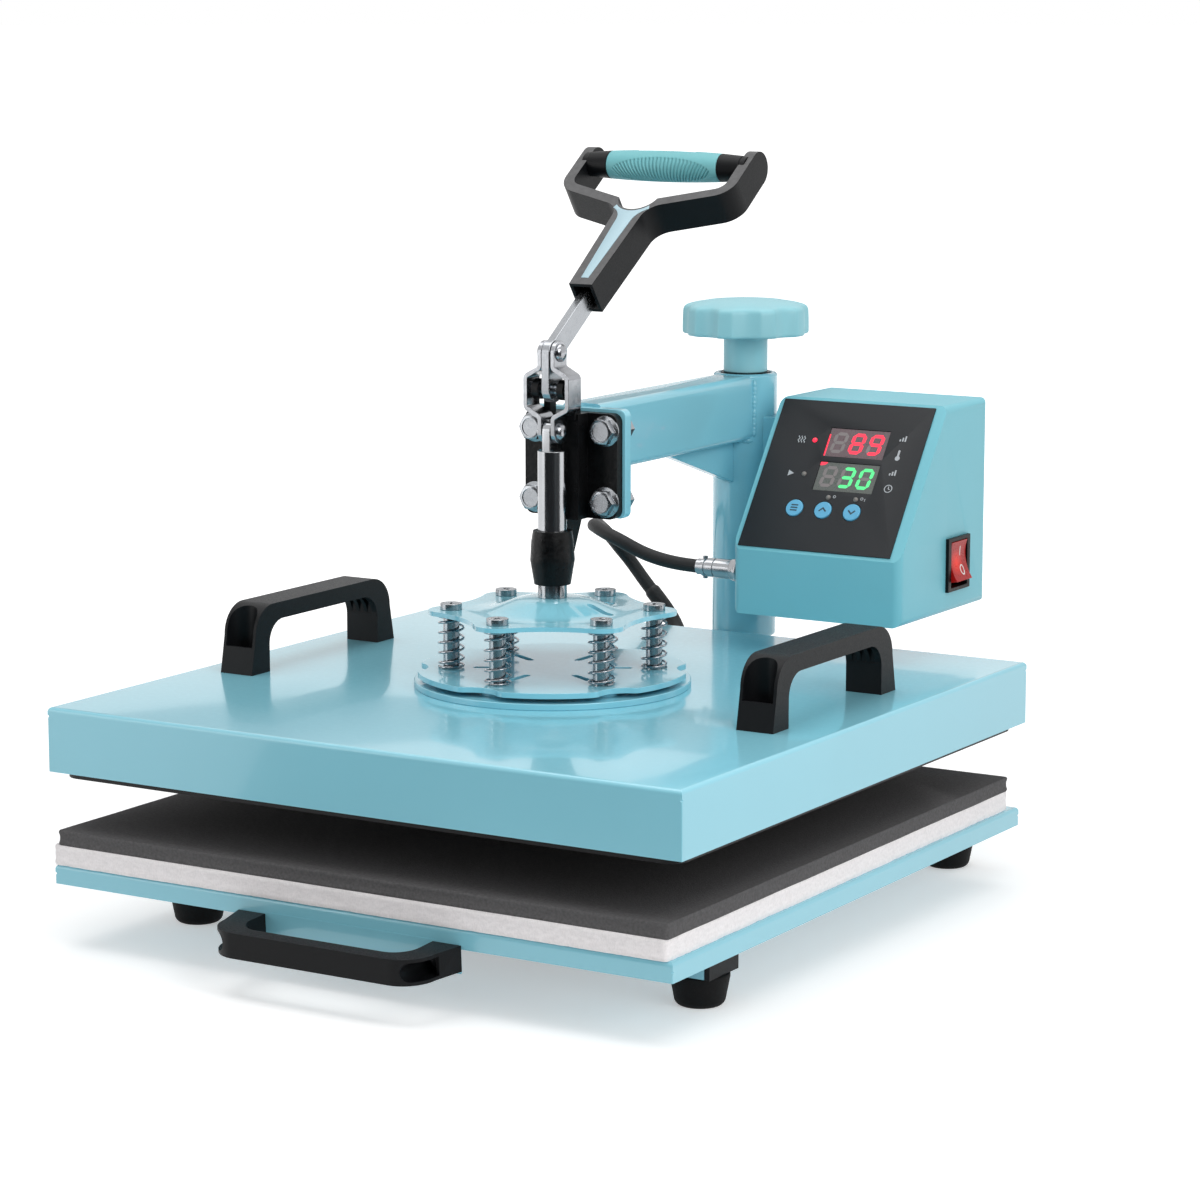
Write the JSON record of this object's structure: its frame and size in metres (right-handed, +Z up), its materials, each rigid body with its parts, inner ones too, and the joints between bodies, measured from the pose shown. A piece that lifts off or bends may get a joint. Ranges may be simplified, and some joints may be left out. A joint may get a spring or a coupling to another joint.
{
  "type": "heat press",
  "caption": "Swing-away combo heat press with a sprung upper platen, toggle clamp lever, slide-out lower platen, pressure knob and slanted control box.",
  "frame": {"origin": "on the floor, under the middle of the press's width and depth", "axes": "+X to the user's right, +Y to the back, +Z up"},
  "size_m": [0.39, 0.4851, 0.4167],
  "materials": {
    "aqua_paint": "gloss powder coat",
    "box_paint": "satin powder coat",
    "knob_plastic": "satin",
    "grip_rubber": "soft matt",
    "inlay_plastic": "satin",
    "black_plastic": "fine grain",
    "foot_rubber": "matt",
    "cable_rubber": "matt",
    "zinc_steel": "zinc plated",
    "bright_steel": "polished",
    "spring_steel": "bright wire",
    "link_chrome": "polished",
    "black_casting": "rough black paint",
    "heater_coating": "black non-stick coating",
    "felt": "pressed felt",
    "foam": "fine-celled foam",
    "mineral_wool": "pressed board",
    "panel_film": "satin film",
    "display_window": "smoked window",
    "lamp": "clear lens",
    "board": "printed board",
    "key_blue": "satin",
    "rocker_red": "lit, glossy"
  },
  "bodies": {
    "base": {"base_frame": "aqua_paint", "tube_end_caps": "black_plastic", "rubber_feet": "foot_rubber", "foot_screws": "zinc_steel", "post": "bright_steel", "drawer_slides": "zinc_steel"},
    "drawer": {"drawer_tray": "aqua_paint", "felt_board": "felt", "foam_pad": "foam", "drawer_handle": "black_plastic", "drawer_runners": "bright_steel", "drawer_handle_screws": "zinc_steel"},
    "lift": {"thrust_collar": "zinc_steel"},
    "knob": {"pressure_knob": "knob_plastic", "pressure_screw": "bright_steel"},
    "arm": {"sleeve_tube": "aqua_paint", "arm_beam": "aqua_paint", "arm_gusset": "aqua_paint", "clamp_plate": "aqua_paint", "clamp_body": "black_casting", "clamp_bolts": "zinc_steel", "pivot_pin": "bright_steel", "box_bracket": "aqua_paint", "box_shell": "box_paint", "box_back": "box_paint", "box_screws": "zinc_steel", "control_panel": "panel_film", "temperature_display": "display_window", "time_display": "display_window", "indicator_lamps": "lamp", "circuit_board": "board", "switch_bezel": "black_plastic", "power_inlet": "black_plastic", "connector_socket": "bright_steel", "connector_plug": "bright_steel", "platen_cable": "cable_rubber"},
    "set_key": {"set_button": "key_blue"},
    "up_key": {"up_button": "key_blue"},
    "down_key": {"down_button": "key_blue"},
    "switch": {"power_rocker": "rocker_red"},
    "lever": {"lever_bar": "zinc_steel", "lever_handle": "black_plastic", "lever_inlay": "inlay_plastic", "grip_rod": "black_plastic", "lever_grip": "grip_rubber"},
    "link": {"link_plates": "link_chrome", "link_rivets": "bright_steel"},
    "plunger": {"plunger": "bright_steel", "upper_spider": "aqua_paint"},
    "platen": {"lower_spider": "aqua_paint", "mount_disc": "aqua_paint", "shoulder_screws": "bright_steel", "compression_springs": "spring_steel", "platen_cover": "aqua_paint", "heating_plate": "heater_coating", "insulation_board": "mineral_wool", "left_handle": "black_plastic", "right_handle": "black_plastic", "cover_handle_screws": "zinc_steel", "cable_grommet": "foot_rubber"}
  },
  "joints": [
    {"name": "drawer_slide", "type": "slide", "parent": "base", "child": "drawer", "axis": [0, -1, 0], "range_m": [0, 0.17]},
    {"name": "arm_lift", "type": "slide", "parent": "base", "child": "lift", "axis": [0, 0, 1], "range_m": [0, 0.012]},
    {"name": "knob_turn", "type": "hinge", "parent": "lift", "child": "knob", "pos_m": [0, 0.20465, 0.2], "axis": [0, 0, 1], "range_deg": [0, 1440]},
    {"name": "arm_swing", "type": "hinge", "parent": "lift", "child": "arm", "pos_m": [0, 0.20465, 0.2], "axis": [0, 0, 1], "range_deg": [-100, 100]},
    {"name": "lever_turn", "type": "hinge", "parent": "arm", "child": "lever", "pos_m": [0, -0.01085, 0.2925], "axis": [1, 0, 0], "range_deg": [0, 123]},
    {"name": "link_turn", "type": "hinge", "parent": "lever", "child": "link", "pos_m": [0, -0.01085, 0.3125], "axis": [1, 0, 0], "range_deg": [-100.24, 0]},
    {"name": "plunger_slide", "type": "slide", "parent": "arm", "child": "plunger", "axis": [0, 0, -1], "range_m": [0, 0.02759], "deforming": ["platen_cable"]},
    {"name": "platen_float", "type": "slide", "parent": "plunger", "child": "platen", "axis": [0, 0, 1], "range_m": [0, 0.008], "stiffness_N_per_m": 15000, "springref_m": -0.005, "deforming": ["compression_springs"]},
    {"name": "set_press", "type": "slide", "parent": "arm", "child": "set_key", "axis": [0, 0.8151, -0.5793], "range_m": [0, 0.0006], "stiffness_N_per_m": 600, "springref_m": -0.001},
    {"name": "up_press", "type": "slide", "parent": "arm", "child": "up_key", "axis": [0, 0.8151, -0.5793], "range_m": [0, 0.0006], "stiffness_N_per_m": 600, "springref_m": -0.001},
    {"name": "down_press", "type": "slide", "parent": "arm", "child": "down_key", "axis": [0, 0.8151, -0.5793], "range_m": [0, 0.0006], "stiffness_N_per_m": 600, "springref_m": -0.001},
    {"name": "switch_tip", "type": "hinge", "parent": "arm", "child": "switch", "pos_m": [0.1336, 0.20325, 0.1797], "axis": [0, 1, 0], "range_deg": [0, 18]}
  ],
  "couplings": [
    {"joint": "knob_turn", "follows": "arm_lift", "rad_per_m": 2094.4},
    {"joint": "link_turn", "follows": "lever_turn", "ratio": -0.81334},
    {"joint": "plunger_slide", "follows": "lever_turn", "m_per_rad": 0.012804}
  ]
}
